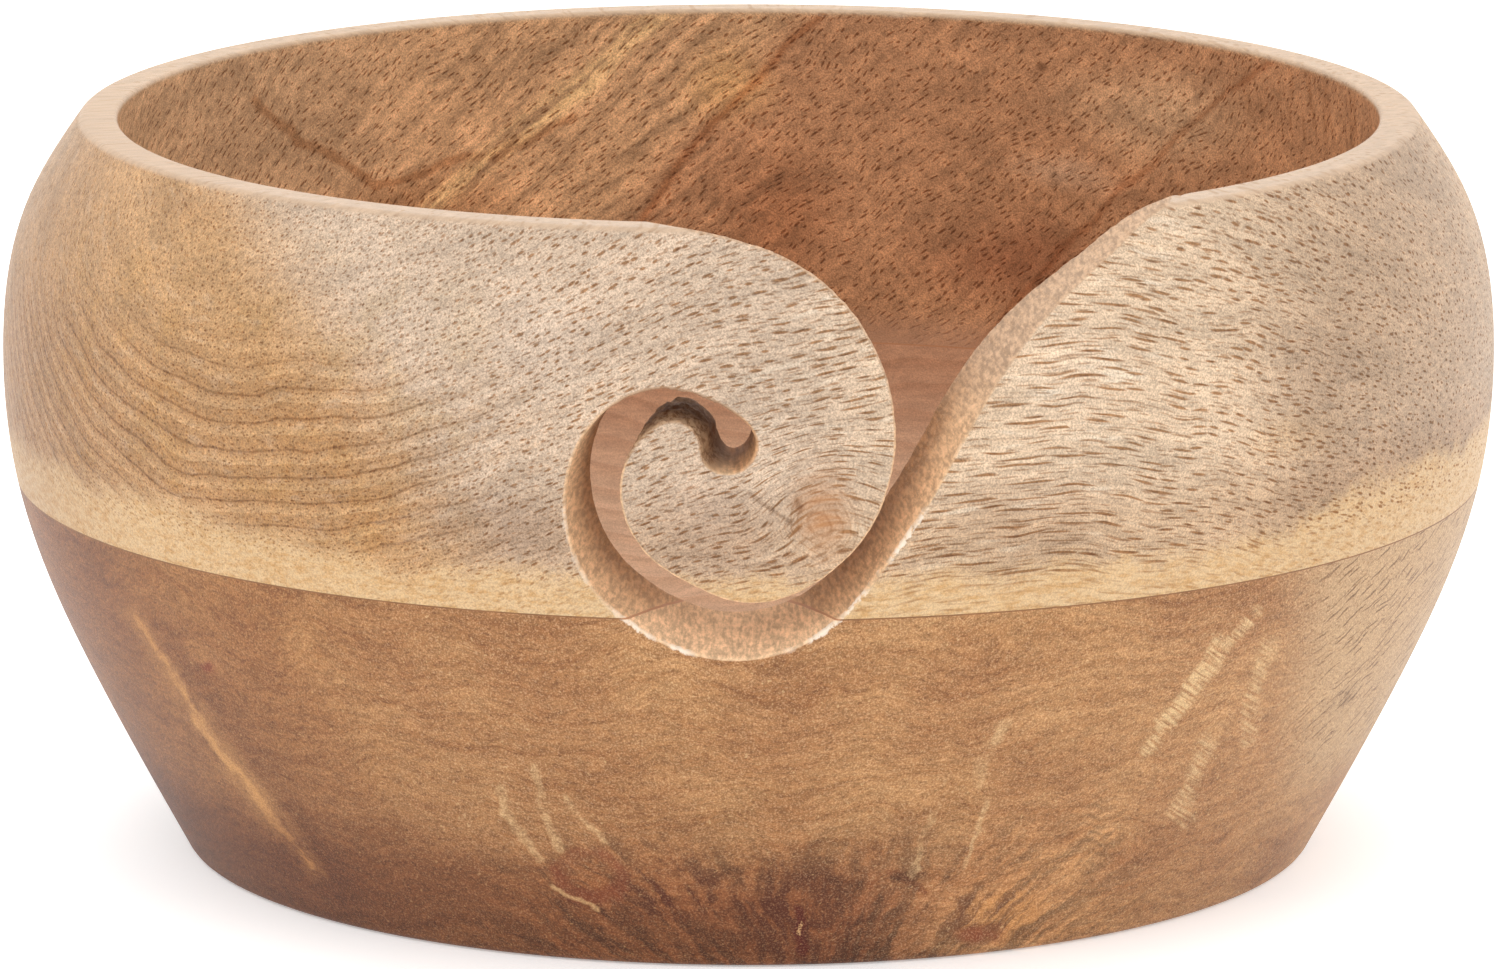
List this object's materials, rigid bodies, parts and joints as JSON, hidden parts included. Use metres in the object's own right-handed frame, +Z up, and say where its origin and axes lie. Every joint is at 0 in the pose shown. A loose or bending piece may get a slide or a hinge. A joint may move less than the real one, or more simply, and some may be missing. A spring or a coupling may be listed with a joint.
{
  "type": "yarn bowl",
  "caption": "Round turned wooden bowl with a spiral yarn slot cut down from the rim, made of two planks glued flat and standing on a flat foot.",
  "frame": {"origin": "centre of the flat foot, on the surface that the bowl stands on", "axes": "+Z up along the turning axis, -Y towards the yarn slot, +X to the right of a person who faces the slot"},
  "size_m": [0.152, 0.152, 0.0751],
  "materials": {
    "upper_wood": "pale speckled hardwood with dark pores, sanded and oiled, satin",
    "lower_wood": "warm mid-brown hardwood, sanded and oiled, satin",
    "glue": "cured wood glue, dark amber, matt"
  },
  "bodies": {
    "root": {"upper_ring": "upper_wood", "lower_bowl": "lower_wood", "glue_line": "glue"}
  },
  "joints": []
}
